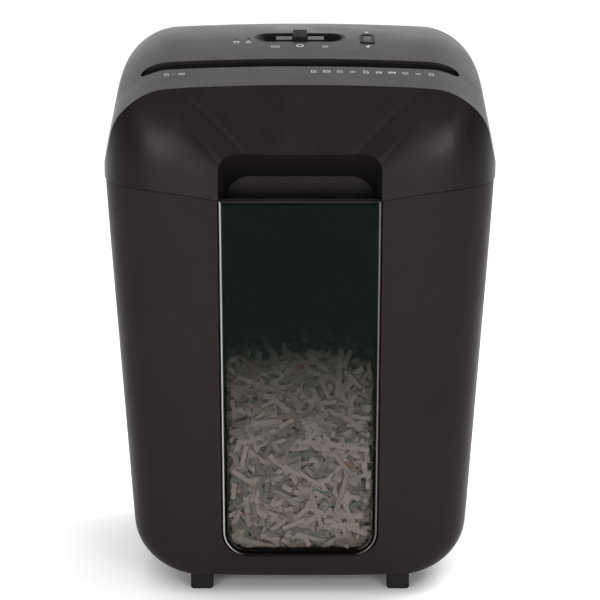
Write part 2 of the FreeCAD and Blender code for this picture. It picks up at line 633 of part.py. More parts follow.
SECOND_AT = next_centre(REAR_SHAFT, DRIVE, SECOND_SMALL, -5.0)
FIRST_AT = next_centre(SECOND_AT, SECOND_LARGE, FIRST_SMALL, -3.0)
MOTOR_AT = next_centre(FIRST_AT, FIRST_LARGE, PINION, 15.0)


def make_side_plate(side):
    outline = [(-92, PLATE_LOW), (-18, PLATE_LOW), (-18, 377), (-92, 377)]
    if side > 0:
        outline = [(-92, PLATE_LOW), (86, PLATE_LOW), (86, 384), (-15, 384), (-22, 377), (-92, 377)]
    x = PLATE_X if side > 0 else -PLATE_X - PLATE_T
    plate = yz_plate(outline, x, x + PLATE_T)
    for px, py in PAD_AT:
        if px * side > 0:
            x0, x1 = sorted((side * (PLATE_X + 0.5), side * 104.5))
            plate = plate.fuse(box(x0, x1, py - 5, py + 5, PLATE_LOW, PLATE_LOW + 2.5))
    holes = [(FRONT_SHAFT, BEARING_R), (REAR_SHAFT, BEARING_R)] + [(at, ROD_R) for at in ROD_AT]
    if side > 0:
        holes += [(MOTOR_AT, 9.0), (SECOND_AT, AXLE_R), (FIRST_AT, AXLE_R)]
    for (y, z), r in holes:
        plate = plate.cut(rod(r, V(x - 1, y, z), V(x + PLATE_T + 1, y, z)))
    return plate


def make_tie_rods():
    return Part.makeCompound([rod(ROD_R, V(-PLATE_X - PLATE_T, y, z), V(PLATE_X + PLATE_T, y, z))
                              for y, z in ROD_AT])


def make_bushes():
    bushes = []
    for y, z in (FRONT_SHAFT, REAR_SHAFT):
        for x in (-PLATE_X - PLATE_T, PLATE_X):
            bushes.append(ring(BEARING_R, JOURNAL_R + RUNNING, V(x, y, z), V(x + PLATE_T, y, z)))
    return Part.makeCompound(bushes)


def hexagon(y, z, x, radius):
    return [V(x, y + radius * cos(pi / 3 * k), z + radius * sin(pi / 3 * k)) for k in range(6)]


def make_cutter_shaft(at, x_right):
    y, z = at
    shaft = prism(hexagon(y, z, -PLATE_X + 0.6, HEX_R), V(2 * PLATE_X - 1.2, 0, 0))
    return shaft.fuse(rod(JOURNAL_R, V(-124.0, y, z), V(x_right, y, z)))


def make_discs(at, first_x):
    """Cross-cut discs on a hexagonal bore; each one's hooks are turned against its neighbour's."""
    y, z = at
    hooks = 8
    discs = []
    for i in range(DISC_COUNT):
        x = first_x + DISC_PITCH * i - DISC_T / 2
        points = []
        for k in range(hooks):
            start = 2 * pi * (k + 0.25 * i) / hooks
            for turn, radius in ((0.0, DISC_R - 2.0), (0.02, DISC_R), (0.26, DISC_R - 0.4),
                                 (0.5, DISC_R - 0.6), (0.74, DISC_R - 0.9)):
                angle = start + 2 * pi * turn / hooks
                points.append(V(x, y + radius * cos(angle), z + radius * sin(angle)))
        disc = prism(points, V(DISC_T, 0, 0)).cut(prism(hexagon(y, z, x - 1, HEX_R), V(DISC_T + 2, 0, 0)))
        discs.append(disc)
    return Part.makeCompound(discs)


def make_comb(at, first_x, side):
    """Bar with one finger between each pair of discs, to strip the shreds off."""
    y, z = at
    near = y + side * (HEX_R + 1.5)
    far = y + side * (DISC_R + 2.0)
    y0, y1 = sorted((far, far + side * COMB_T))
    comb = box(-PLATE_X, PLATE_X, y0, y1, z - COMB_HALF_Z, z + COMB_HALF_Z)
    f0, f1 = sorted((near, far + side * 1.0))
    fingers = []
    for i in range(-1, DISC_COUNT):
        x = first_x + DISC_PITCH * (i + 0.5)
        if abs(x) < PLATE_X - 2:
            fingers.append(box(x - FINGER_HALF_T, x + FINGER_HALF_T, f0, f1,
                               z - FINGER_HALF_Z, z + FINGER_HALF_Z))
    return comb.multiFuse(fingers)


# ---- head: gears and motor ----
def involute(radius, base):
    angle = sqrt(max((radius / base)**2 - 1, 0.0))
    return angle - atan2(angle, 1.0)


def make_gear(wheel, at, layer, phase, bore):
    """Spur gear about X; one tooth points in the direction of phase."""
    teeth, module = wheel
    y, z = at
    pitch_r = teeth * module / 2
    base_r = pitch_r * cos(PRESSURE)
    tip_r = pitch_r + 0.8 * module
    root_r = pitch_r - 1.1 * module
    half = (pi * module / 2 - BACKLASH) / (2 * pitch_r) + involute(pitch_r, base_r)
    start_r = max(base_r, root_r)
    flank = [(start_r, half - involute(start_r, base_r))]
    for radius in ((start_r + tip_r) / 2, tip_r):
        flank.append((radius, half - involute(radius, base_r)))
    if root_r < base_r:
        flank.insert(0, (root_r, flank[0][1]))
    points = []
    for k in range(teeth):
        middle = phase + 2 * pi * k / teeth
        for sign, rows in ((-1, flank), (1, flank[::-1])):
            for radius, angle in rows:
                a = middle + sign * angle
                points.append(V(layer[0], y + radius * cos(a), z + radius * sin(a)))
    gear = prism(points, V(layer[1] - layer[0], 0, 0))
    return gear.cut(rod(bore, V(layer[0] - 1, y, z), V(layer[1] + 1, y, z)))


def direction(a, b):
    return atan2(b[1] - a[1], b[0] - a[0])


def mesh_phase(a, b, teeth):
    """Phase of the wheel at b, so that a gap meets the tooth that points from a to b."""
    return direction(a, b) + pi + pi / teeth


def make_timing_gears():
    front = make_gear(TIMING, FRONT_SHAFT, TIMING_LAYER, 0.0, JOURNAL_R)
    phase = mesh_phase(FRONT_SHAFT, REAR_SHAFT, TIMING[0])
    rear = make_gear(TIMING, REAR_SHAFT, TIMING_LAYER, phase, JOURNAL_R)
    return front, rear


def make_drive_gear():
    return make_gear(DRIVE, REAR_SHAFT, LAYER_1, direction(REAR_SHAFT, SECOND_AT), JOURNAL_R)


def compound_gear(at, small, small_layer, small_phase, large, large_layer, large_phase):
    bore = AXLE_R + RUNNING
    low = make_gear(small, at, small_layer, small_phase, bore)
    high = make_gear(large, at, large_layer, large_phase, bore)
    y, z = at
    x0, x1 = min(small_layer[1], large_layer[1]) - 0.5, max(small_layer[0], large_layer[0]) + 0.5
    neck = ring(AXLE_R + NECK_WALL, bore, V(x0, y, z), V(x1, y, z))
    return low.fuse(high).fuse(neck)


def make_second_gear():
    phase = mesh_phase(REAR_SHAFT, SECOND_AT, SECOND_SMALL[0])
    return compound_gear(SECOND_AT, SECOND_SMALL, LAYER_1, phase,
                         SECOND_LARGE, LAYER_2, direction(SECOND_AT, FIRST_AT))


def make_first_gear():
    phase = mesh_phase(SECOND_AT, FIRST_AT, FIRST_SMALL[0])
    return compound_gear(FIRST_AT, FIRST_SMALL, LAYER_2, phase,
                         FIRST_LARGE, LAYER_3, direction(FIRST_AT, MOTOR_AT))


def make_pinion():
    return make_gear(PINION, MOTOR_AT, LAYER_3, mesh_phase(FIRST_AT, MOTOR_AT, PINION[0]), AXLE_R)


def make_gear_axles():
    axles = []
    for y, z in (SECOND_AT, FIRST_AT):
        axles.append(rod(AXLE_R, V(PLATE_X, y, z), V(GEARBOX_X[1], y, z)))
    return Part.makeCompound(axles)


POST_AT = [(14.5, 329.8), (14.5, 377.0), (60.0, 334.0)]


def make_gearbox_plate():
    outline = [(9, 325.5), (66, 329), (66, 344), (40, 364), (20, 381), (8, 381), (-10, 362), (-10, 342)]
    plate = yz_plate(outline, *GEARBOX_X)
    for y, z in (SECOND_AT, FIRST_AT):
        plate = plate.cut(rod(AXLE_R, V(130, y, z), V(140, y, z)))
    return plate


def make_gearbox_posts():
    posts = [rod(POST_R, V(PLATE_X + PLATE_T, y, z), V(GEARBOX_X[0], y, z)) for y, z in POST_AT]
    return Part.makeCompound(posts)


def motor_disc(radius, x0, x1):
    y, z = MOTOR_AT
    return rod(radius, V(x0, y, z), V(x1, y, z))


def make_motor_can():
    can = motor_disc(MOTOR_R, *MOTOR_X).cut(motor_disc(MOTOR_R - CAN_WALL, *MOTOR_X))
    y, z = MOTOR_AT
    for k in range(8):
        angle = 45.0 * k + 22.5
        slot = box(50, 82, y - 2.5, y + 2.5, z + MOTOR_R - 4, z + MOTOR_R + 4)
        slot.rotate(V(0, y, z), X, angle)
        can = can.cut(slot)
    return can


def make_motor_cap(front):
    x0, x1 = (MOTOR_X[1], MOTOR_X[1] + CAP_T) if front else (MOTOR_X[0] - CAP_T, MOTOR_X[0])
    cap = motor_disc(MOTOR_R, x0, x1)
    if front:
        y, z = MOTOR_AT
        cap = cap.fuse(motor_disc(8.0, x1, x1 + 3))
        for k in range(3):
            a = radians(120 * k + 30)
            py, pz = y + 21 * cos(a), z + 21 * sin(a)
            cap = cap.fuse(rod(3.5, V(x1, py, pz), V(PLATE_X, py, pz)))
    return cap.cut(motor_disc(AXLE_R + RUNNING, x0 - 1, PLATE_X + 1))


def make_armature():
    core = motor_disc(22.5, 44, 88).fuse(motor_disc(18.0, 38, 94)).fuse(motor_disc(9.0, 94, 102))
    y, z = MOTOR_AT
    for k in range(12):
        slot = box(43, 89, y - 1.0, y + 1.0, z + 19.5, z + 24)
        slot.rotate(V(0, y, z), X, 30.0 * k)
        core = core.cut(slot)
    return core.cut(motor_disc(AXLE_R, 30, 110))


def make_motor_shaft():
    return motor_disc(AXLE_R, 12.0, LAYER_3[1] + 0.4)


def make_motor_fan():
    y, z = MOTOR_AT
    fan = motor_disc(FAN_HUB_R, *FAN_X).fuse(motor_disc(FAN_R, FAN_X[1] - 1.4, FAN_X[1]))
    for k in range(9):
        blade = box(FAN_X[0] + 0.5, FAN_X[1] - 1, y - 0.7, y + 0.7, z + 5, z + FAN_R)
        blade.rotate(V(0, y, z), X, 40.0 * k)
        fan = fan.fuse(blade)
    return fan.cut(motor_disc(AXLE_R, 0, 40))


def make_motor_cradle():
    y, z = MOTOR_AT
    saddles = []
    for x in SADDLE_X:
        saddle = box(x, x + SADDLE_T, y - SADDLE_HALF, y + SADDLE_HALF, TRAY_Z + TRAY_T, z - 16)
        saddles.append(saddle.cut(motor_disc(MOTOR_R, x - 1, x + SADDLE_T + 1)))
    return Part.makeCompound(saddles)


# ---- head: electrics and small parts ----
def make_control_board():
    x0, x1, y0, y1 = BOARD
    return box(x0, x1, y0, y1, BOARD_Z, BOARD_Z + BOARD_T)


def make_board_parts():
    """Two relays, transformer, filter, connector, thyristor and two capacitors."""
    x0, y0 = BOARD[0], BOARD[2]
    top = BOARD_Z + BOARD_T
    boxes = [(6, 26, 8, 23, 16), (6, 26, 28, 43, 16), (34, 60, 10, 32, 20), (8, 30, 54, 64, 11),
             (68, 74, 10, 24, 5), (66, 76, 40, 60, 7)]
    cans = [(44, 48, 7.5, 24), (62, 52, 5.0, 14)]
    parts = [box(x0 + a, x0 + b, y0 + c, y0 + d, top, top + h) for a, b, c, d, h in boxes]
    parts += [rod(r, V(x0 + a, y0 + b, top), V(x0 + a, y0 + b, top + h)) for a, b, r, h in cans]
    return Part.makeCompound(parts)


def make_isolators():
    return Part.makeCompound([rod(4.5, V(x, y, TRAY_Z + TRAY_T), V(x, y, PLATE_LOW)) for x, y in PAD_AT])


def make_sensor_lever():
    y, z = LEVER_PIVOT
    x = LEVER_X - 1.5
    arm = prism([V(x, y + 2, z + 3), V(x, y - 3, z + 3), V(x, y - 15.5, z - 6), V(x, y - 16.5, z - 9),
                 V(x, y - 14, z - 9), V(x, y - 3, z - 3), V(x, y + 2, z - 3)], V(3.0, 0, 0))
    hub = rod(3.2, V(x, y, z), V(x + 3.0, y, z))
    flag = box(x, x + 3.0, y, y + 11, z - 1.5, z + 1.5)
    return arm.fuse(hub).fuse(flag).cut(rod(PIN_R + RUNNING, V(x - 1, y, z), V(x + 4, y, z)))


def make_sensor_pin():
    y, z = LEVER_PIVOT
    return rod(PIN_R, V(LEVER_X - 6.5, y, z), V(LEVER_X + 6.5, y, z))


def make_interlock_plunger():
    x, y = PLUNGER_AT
    pin = rod(PLUNGER_R, V(x, y, RIB_TOP + 0.3), V(x, y, PLUNGER_TOP))
    return pin.fuse(rod(COLLAR_R, V(x, y, COLLAR_Z[0]), V(x, y, COLLAR_Z[1])))


def make_interlock_spring():
    x, y = PLUNGER_AT
    return ring(*SPRING_R, V(x, y, COLLAR_Z[1]), V(x, y, SWITCH_Z[0]))


def make_interlock_switch():
    x, y = PLUNGER_AT
    body = box(x - 7, x + 7, y - 7, y + 5, *SWITCH_Z)
    return body.cut(rod(PLUNGER_HOLE_R, V(x, y, 344), V(x, y, 350)))


def make_cord_gland():
    x, z = GLAND_AT
    flange = rod(GLAND_FLANGE_R, V(x, BACK_Y + 0.05, z), V(x, -FRONT_Y, z))
    gland = rod(GLAND_R, V(x, 101, z), V(x, BACK_Y + 1, z)).fuse(flange)
    return gland.cut(rod(GLAND_BORE_R, V(x, 90, z), V(x, 120, z)))


def make_gland_nut():
    x, z = GLAND_AT
    corners = [V(x + NUT_R * cos(pi / 3 * k), NUT_Y, z + NUT_R * sin(pi / 3 * k)) for k in range(6)]
    nut = prism(corners, V(0, NUT_T, 0))
    return nut.cut(rod(GLAND_R, V(x, 90, z), V(x, 120, z)))


def make_cover_screws():
    screws = []
    for x, y in BOSS_AT:
        head = rod(SCREW_HEAD_R, V(x, y, TRAY_Z - SCREW_HEAD_T), V(x, y, TRAY_Z))
        screws.append(rod(SCREW_R, V(x, y, TRAY_Z - 0.5), V(x, y, TRAY_Z + SCREW_DEPTH)).fuse(head))
    return Part.makeCompound(screws)


def make_plate_screws():
    heads = []
    for y, z in ROD_AT:
        heads.append(rod(ROD_HEAD_R, V(-PLATE_X - PLATE_T - 2.2, y, z), V(-PLATE_X - PLATE_T, y, z)))
    return Part.makeCompound(heads)


def main():
    front_timing, rear_timing = make_timing_gears()
    front_first = -DISC_PITCH * (DISC_COUNT - 1) / 2 - DISC_PITCH / 4
    rear_first = front_first + DISC_PITCH / 2
    nodes = {
        "bin_shell": make_bin_shell(),
        "window_insert": make_window(),
        "paper_shreds": make_heap(),
        "head_cover": make_head_cover(),
        "head_tray": make_head_tray(),
        "slot_guide": make_slot_guide(),
        "slider_bed": make_slider_bed(),
        "lock_bezel": make_lock_bezel(),
        "lens_left": make_lens(LENS_X[0]),
        "lens_right": make_lens(LENS_X[1]),
        "control_slider": make_control_slider(),
        "slider_thumb": make_slider_thumb(),
        "mode_switch": make_mode_switch(),
        "lock_button": make_lock_button(),
        "lock_plate": make_lock_plate(),
        "cutter_plate_left": make_side_plate(-1),
        "cutter_plate_right": make_side_plate(1),
        "tie_rods": make_tie_rods(),
        "cutter_bushes": make_bushes(),
        "front_cutter_shaft": make_cutter_shaft(FRONT_SHAFT, PLATE_X + PLATE_T + 0.5),
        "rear_cutter_shaft": make_cutter_shaft(REAR_SHAFT, LAYER_1[1] + 0.6),
        "front_cutter_discs": make_discs(FRONT_SHAFT, front_first),
        "rear_cutter_discs": make_discs(REAR_SHAFT, rear_first),
        "stripper_comb_front": make_comb(FRONT_SHAFT, front_first, -1),
        "stripper_comb_rear": make_comb(REAR_SHAFT, rear_first, 1),
        "front_timing_gear": front_timing,
        "rear_timing_gear": rear_timing,
        "drive_gear": make_drive_gear(),
        "second_gear": make_second_gear(),
        "first_gear": make_first_gear(),
        "motor_pinion": make_pinion(),
        "gear_axles": make_gear_axles(),
        "gearbox_plate": make_gearbox_plate(),
        "gearbox_posts": make_gearbox_posts(),
        "motor_can": make_motor_can(),
        "motor_front_cap": make_motor_cap(True),
        "motor_rear_cap": make_motor_cap(False),
        "motor_armature": make_armature(),
        "motor_shaft": make_motor_shaft(),
        "motor_fan": make_motor_fan(),
        "motor_cradle": make_motor_cradle(),
        "control_board": make_control_board(),
        "board_parts": make_board_parts(),
        "isolators": make_isolators(),
        "sensor_lever": make_sensor_lever(),
        "sensor_pin": make_sensor_pin(),
        "interlock_plunger": make_interlock_plunger(),
        "interlock_spring": make_interlock_spring(),
        "interlock_switch": make_interlock_switch(),
        "cord_gland": make_cord_gland(),
        "gland_nut": make_gland_nut(),
        "cover_screws": make_cover_screws(),
        "plate_screws": make_plate_screws(),
    }
    for x, side in ((-FOOT_X, "left"), (FOOT_X, "right")):
        for y, end in zip(FOOT_Y, ("front", "rear")):
            nodes["foot_%s_%s" % (end, side)] = make_foot(x, y)
    for name, shape in nodes.items():
        export(name, shape)


if __name__ == "__main__":
    main()
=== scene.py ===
import json
import math
import random

import bpy
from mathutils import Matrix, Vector
from mathutils.bvhtree import BVHTree
from mathutils.geometry import tessellate_polygon


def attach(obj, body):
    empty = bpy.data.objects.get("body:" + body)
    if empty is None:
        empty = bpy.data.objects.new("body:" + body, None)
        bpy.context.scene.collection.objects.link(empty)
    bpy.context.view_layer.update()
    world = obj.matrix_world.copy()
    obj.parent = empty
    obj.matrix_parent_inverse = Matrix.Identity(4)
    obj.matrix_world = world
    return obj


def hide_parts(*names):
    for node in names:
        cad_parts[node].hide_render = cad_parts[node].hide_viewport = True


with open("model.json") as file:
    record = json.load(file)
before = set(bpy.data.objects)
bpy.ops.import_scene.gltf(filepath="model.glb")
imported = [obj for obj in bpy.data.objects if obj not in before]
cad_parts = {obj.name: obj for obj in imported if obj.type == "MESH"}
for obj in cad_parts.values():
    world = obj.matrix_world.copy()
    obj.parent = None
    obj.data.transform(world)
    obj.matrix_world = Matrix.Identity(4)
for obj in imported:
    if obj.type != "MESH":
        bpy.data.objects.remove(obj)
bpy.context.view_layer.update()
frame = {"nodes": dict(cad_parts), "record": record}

NODES = frame["nodes"]
MM = 0.001


# ---- material helpers ----
def node_material(name):
    material = bpy.data.materials.new(name)
    material.use_nodes = True
    tree = material.node_tree
    return material, tree, tree.nodes["Principled BSDF"]


def add(tree, kind, **values):
    """A node with its plain properties and socket defaults set."""
    node = tree.nodes.new(kind)
    for key, value in values.items():
        if key in node.inputs:
            node.inputs[key].default_value = value
        else:
            setattr(node, key, value)
    return node


def noise(tree, coords, scale, detail=3.0, roughness=0.55, stretch=None):
    if stretch:
        mapping = add(tree, "ShaderNodeMapping")
        mapping.inputs["Scale"].default_value = stretch
        tree.links.new(coords, mapping.inputs["Vector"])
        coords = mapping.outputs["Vector"]
    node = add(tree, "ShaderNodeTexNoise", Scale=scale, Detail=detail, Roughness=roughness)
    tree.links.new(coords, node.inputs["Vector"])
    return node.outputs["Fac"]


def ramp(tree, value, stops):
    """Colour ramp; each stop is a position and a grey level or a colour."""
    node = add(tree, "ShaderNodeValToRGB")
    elements = node.color_ramp.elements
    while len(elements) < len(stops):
        elements.new(0.5)
    for element, (position, colour) in zip(elements, stops):
        element.position = position
        if not hasattr(colour, "__len__"):
            colour = (colour, colour, colour)
        element.color = (*colour, 1.0)
    tree.links.new(value, node.inputs["Fac"])
    return node.outputs["Color"]


def remap(tree, value, low, high, to_low, to_high):
    node = add(tree, "ShaderNodeMapRange")
    node.inputs["From Min"].default_value = low
    node.inputs["From Max"].default_value = high
    node.inputs["To Min"].default_value = to_low
    node.inputs["To Max"].default_value = to_high
    tree.links.new(value, node.inputs["Value"])
    return node.outputs["Result"]


def bump(tree, height, distance, normal=None):
    """Normal from a height; a finer bump can stand on a wider one."""
    node = add(tree, "ShaderNodeBump", Distance=distance)
    tree.links.new(height, node.inputs["Height"])
    if normal is not None:
        tree.links.new(normal, node.inputs["Normal"])
    return node.outputs["Normal"]


def shade(colour, factor):
    return tuple(min(c * factor, 1.0) for c in colour)


WARM_SHINE = (1.0, 0.90, 0.865, 1.0)
# The broad texture under the fine one, as shares of its scale and depth.
WIDE_GRAIN, WIDE_DEPTH = 0.22, 1.6


def moulded(name, colour, rough, grain=1400.0, depth=0.00003, level=0.4, spread=0.12):
    """Moulded plastic: fine texture, faint flow marks in the colour, handling marks in the gloss."""
    material, tree, bsdf = node_material(name)
    coords = add(tree, "ShaderNodeTexCoord").outputs["Object"]
    bsdf.inputs["Specular IOR Level"].default_value = level
    bsdf.inputs["Specular Tint"].default_value = WARM_SHINE
    clouds = noise(tree, coords, 9.0, 4.0)
    tree.links.new(ramp(tree, clouds, [(0.3, shade(colour, 1 - spread)), (0.7, shade(colour, 1 + spread))]),
                   bsdf.inputs["Base Color"])
    marks = noise(tree, coords, 35.0, 6.0, 0.65)
    tree.links.new(remap(tree, marks, 0.3, 0.7, rough - 0.05, rough + 0.06), bsdf.inputs["Roughness"])
    fine = noise(tree, coords, grain, 2.0, 0.6)
    wide = noise(tree, coords, grain * WIDE_GRAIN, 2.0, 0.5)
    first = bump(tree, wide, depth * WIDE_DEPTH)
    tree.links.new(bump(tree, fine, depth, first), bsdf.inputs["Normal"])
    return material


def metal(name, colour, rough, stretch=(1.0, 1.0, 1.0), grain=900.0, depth=0.000012):
    """Worked metal: directional scratches in gloss and height, with slight staining."""
    material, tree, bsdf = node_material(name)
    coords = add(tree, "ShaderNodeTexCoord").outputs["Object"]
    bsdf.inputs["Metallic"].default_value = 1.0
    stain = noise(tree, coords, 22.0, 5.0, 0.6)
    tree.links.new(ramp(tree, stain, [(0.35, shade(colour, 0.82)), (0.62, colour)]),
                   bsdf.inputs["Base Color"])
    lines = noise(tree, coords, grain, 3.0, 0.6, stretch)
    tree.links.new(remap(tree, lines, 0.3, 0.7, rough - 0.08, rough + 0.1), bsdf.inputs["Roughness"])
    tree.links.new(bump(tree, lines, depth), bsdf.inputs["Normal"])
    return material


# The heights that the tints run between: below the first the window stays clear, above the second dark.
WINDOW_CLEAR, WINDOW_DARK = 0.060, 0.222
WINDOW_TINTS = [(0.0, (0.668, 0.649, 0.635)), (0.36, (0.745, 0.721, 0.711)), (0.60, (0.724, 0.700, 0.686)),
                (0.78, (0.660, 0.640, 0.631)), (0.92, (0.42, 0.44, 0.42)), (1.0, (0.24, 0.27, 0.24))]
# Painted highlight in the window's rounded edges: a base colour from its left side over its top and bottom
# to its right side, bright white on the left, dark on top and bottom, grey on the right.
EDGE_HIGHLIGHT_TONES = [(0.0, (0.97, 0.96, 0.95)), (0.35, (0.02, 0.02, 0.02)), (0.65, (0.02, 0.02, 0.02)),
              (1.0, (0.36, 0.35, 0.345))]
FACE_TONES = [(0.3, (0.0022, 0.0066, 0.0034)), (0.7, (0.0032, 0.0078, 0.0044))]
# How squarely the surface faces forward where a rounded edge, with its painted highlight, begins, and where
# it is whole.
EDGE_START, EDGE_FULL = 0.93, 0.70
FACE_COVER_LOW, FACE_COVER_HIGH, EDGE_COVER = 0.05, 0.40, 0.85


def window_material():
    """Smoked plastic: see-through low down, nearly opaque at the top, with a painted highlight in the base
    colour of its rounded edges.
    """
    material, tree, bsdf = node_material("smoked_window")
    tree.nodes.remove(bsdf)
    coords = add(tree, "ShaderNodeTexCoord").outputs["Object"]
    axes = add(tree, "ShaderNodeSeparateXYZ")
    tree.links.new(coords, axes.inputs["Vector"])
    height = remap(tree, axes.outputs["Z"], WINDOW_CLEAR, WINDOW_DARK, 0.0, 1.0)
    tint = ramp(tree, height, WINDOW_TINTS)
    clear = add(tree, "ShaderNodeBsdfTransparent")
    tree.links.new(tint, clear.inputs["Color"])
    streaks = noise(tree, coords, 60.0, 4.0, 0.6)
    normal = add(tree, "ShaderNodeSeparateXYZ")
    tree.links.new(add(tree, "ShaderNodeNewGeometry").outputs["Normal"], normal.inputs["Vector"])
    facing = add(tree, "ShaderNodeMath", operation="ABSOLUTE")
    tree.links.new(normal.outputs["Y"], facing.inputs[0])
    highlight_rim = remap(tree, facing.outputs["Value"], EDGE_START, EDGE_FULL, 0.0, 1.0)
    across = remap(tree, normal.outputs["X"], -0.6, 0.6, 0.0, 1.0)
    # Painted highlight: the rounded edges get a bright white base colour on the left and a grey one on the
    # right, and are made mostly opaque so that it shows.
    edge_highlight = ramp(tree, across, EDGE_HIGHLIGHT_TONES)
    face_tone = ramp(tree, streaks, FACE_TONES)
    tone = add(tree, "ShaderNodeMix", data_type="RGBA")
    tree.links.new(highlight_rim, tone.inputs["Factor"])
    tree.links.new(face_tone, tone.inputs["A"])
    tree.links.new(edge_highlight, tone.inputs["B"])
    gloss = add(tree, "ShaderNodeBsdfPrincipled")
    gloss.inputs["Specular IOR Level"].default_value = 0.10
    tree.links.new(tone.outputs["Result"], gloss.inputs["Base Color"])
    tree.links.new(remap(tree, streaks, 0.3, 0.7, 0.06, 0.11), gloss.inputs["Roughness"])
    cover = add(tree, "ShaderNodeMath", operation="MAXIMUM")
    tree.links.new(remap(tree, height, 0.0, 1.0, FACE_COVER_LOW, FACE_COVER_HIGH), cover.inputs[0])
    tree.links.new(remap(tree, highlight_rim, 0.0, 1.0, 0.0, EDGE_COVER), cover.inputs[1])
    mix = add(tree, "ShaderNodeMixShader")
    tree.links.new(cover.outputs["Value"], mix.inputs["Fac"])
    tree.links.new(clear.outputs["BSDF"], mix.inputs[1])
    tree.links.new(gloss.outputs["BSDF"], mix.inputs[2])
    tree.links.new(mix.outputs["Shader"], tree.nodes["Material Output"].inputs["Surface"])
    return material


def paper_material(low, high):
    """Office paper with soft fibres and faint print. A few of the strips are tinted."""
    material, tree, bsdf = node_material("paper_strips")
    coords = add(tree, "ShaderNodeTexCoord").outputs["Object"]
    bsdf.inputs["Specular IOR Level"].default_value = 0.2
    tone = add(tree, "ShaderNodeAttribute", attribute_name="strip_tone", attribute_type="GEOMETRY")
    fibre = noise(tree, coords, 700.0, 3.0, 0.6)
    base = ramp(tree, tone.outputs["Fac"], [(0.0, low), (0.55, high), (0.86, high),
                                            (0.90, (0.52, 0.40, 0.36)), (0.95, (0.40, 0.46, 0.44))])
    grey = ramp(tree, fibre, [(0.3, 0.86), (0.7, 1.0)])
    mixed = add(tree, "ShaderNodeMix", data_type="RGBA", blend_type="MULTIPLY")
    mixed.inputs["Factor"].default_value = 1.0
    tree.links.new(base, mixed.inputs["A"])
    tree.links.new(grey, mixed.inputs["B"])
    print_marks = noise(tree, coords, 260.0, 2.0, 0.5, (1.0, 1.0, 2.2))
    ink = ramp(tree, print_marks, [(0.66, 1.0), (0.70, 0.45)])
    printed = add(tree, "ShaderNodeMix", data_type="RGBA", blend_type="MULTIPLY")
    printed.inputs["Factor"].default_value = 0.55
    tree.links.new(mixed.outputs["Result"], printed.inputs["A"])
    tree.links.new(ink, printed.inputs["B"])
    tree.links.new(printed.outputs["Result"], bsdf.inputs["Base Color"])
    tree.links.new(remap(tree, fibre, 0.3, 0.7, 0.75, 0.9), bsdf.inputs["Roughness"])
    tree.links.new(bump(tree, fibre, 0.00003), bsdf.inputs["Normal"])
    return material


def board_material():
    """Green circuit board with paler tracks showing through the lacquer."""
    material, tree, bsdf = node_material("circuit_board")
    coords = add(tree, "ShaderNodeTexCoord").outputs["Object"]
    cells = add(tree, "ShaderNodeTexVoronoi", Scale=260.0, feature="DISTANCE_TO_EDGE")
    tree.links.new(coords, cells.inputs["Vector"])
    green = ramp(tree, cells.outputs["Distance"], [(0.05, (0.06, 0.20, 0.09)), (0.12, (0.02, 0.085, 0.04))])
    tree.links.new(green, bsdf.inputs["Base Color"])
    bsdf.inputs["Roughness"].default_value = 0.3
    return material


SHELL = (0.0058, 0.0046, 0.0044)
BIN = (0.0150, 0.0120, 0.0116)
BLACK = (0.0050, 0.0044, 0.0042)
INSERT = (0.004, 0.0036, 0.0036)
LENS = (0.003, 0.0027, 0.0027)
RUBBER = (0.010, 0.0095, 0.0095)
WHITE_NYLON = (0.62, 0.59, 0.50)
GREY_NYLON = (0.11, 0.115, 0.12)
BOARD_PART = (0.02, 0.022, 0.026)
COPPER = (0.62, 0.33, 0.17)

shell_grey = moulded("shell_grey", SHELL, 0.34, grain=1500.0, depth=0.000018, level=0.13, spread=0.05)
bin_grey = moulded("bin_grey", BIN, 0.38, grain=1300.0, depth=0.00003, level=0.035, spread=0.06)
black_plastic = moulded("black_plastic", BLACK, 0.48, grain=1500.0, depth=0.00003, level=0.07)
dark_insert = moulded("dark_insert", INSERT, 0.42, grain=1800.0, depth=0.000006, level=0.06, spread=0.2)
lens_smoked = moulded("lens_smoked", LENS, 0.3, grain=1800.0, depth=0.000004, level=0.04, spread=0.05)
foot_rubber = moulded("foot_rubber", RUBBER, 0.62, grain=1100.0, depth=0.00006, level=0.12, spread=0.2)
white_nylon = moulded("white_nylon", WHITE_NYLON, 0.42, grain=1600.0, depth=0.00001, level=0.45, spread=0.05)
grey_nylon = moulded("grey_nylon", GREY_NYLON, 0.45, grain=1600.0, depth=0.00002, level=0.4, spread=0.1)
board_part = moulded("board_part", BOARD_PART, 0.4, grain=1500.0, depth=0.00001, level=0.45, spread=0.3)
cutter_steel = metal("cutter_steel", (0.42, 0.43, 0.45), 0.28, stretch=(0.15, 1.0, 1.0))
zinc_sheet = metal("zinc_sheet", (0.55, 0.56, 0.57), 0.38, stretch=(1.0, 0.2, 1.0), grain=700.0)
motor_steel = metal("motor_steel", (0.10, 0.105, 0.115), 0.42, stretch=(0.3, 1.0, 1.0))
copper_core = metal("copper_core", COPPER, 0.34, stretch=(0.12, 1.0, 1.0), grain=1400.0, depth=0.00006)
bronze_metal = metal("bronze_metal", (0.48, 0.34, 0.16), 0.36)
spring_steel = metal("spring_steel", (0.66, 0.67, 0.69), 0.22)
screw_steel = metal("screw_steel", (0.40, 0.41, 0.42), 0.34)
smoked_window = window_material()
paper = paper_material((0.40, 0.39, 0.38), (0.86, 0.845, 0.83))
circuit_board = board_material()

FINISH = {
    "shell_grey": shell_grey, "bin_grey": bin_grey, "smoked_window": smoked_window, "paper": paper,
    "black_plastic": black_plastic, "dark_insert": dark_insert, "lens": lens_smoked,
    "rubber_foot": foot_rubber, "cutter_steel": cutter_steel, "zinc_sheet": zinc_sheet,
    "nylon_white": white_nylon, "nylon_grey": grey_nylon, "motor_steel": motor_steel,
    "armature_copper": copper_core, "board_green": circuit_board, "board_part": board_part,
    "bronze": bronze_metal, "spring_steel": spring_steel, "screw_steel": screw_steel,
}
for part in frame["record"]["subparts"]:
    for material_slot in NODES[part["node"]].material_slots:
        material_slot.material = FINISH[part["material_slot"]]


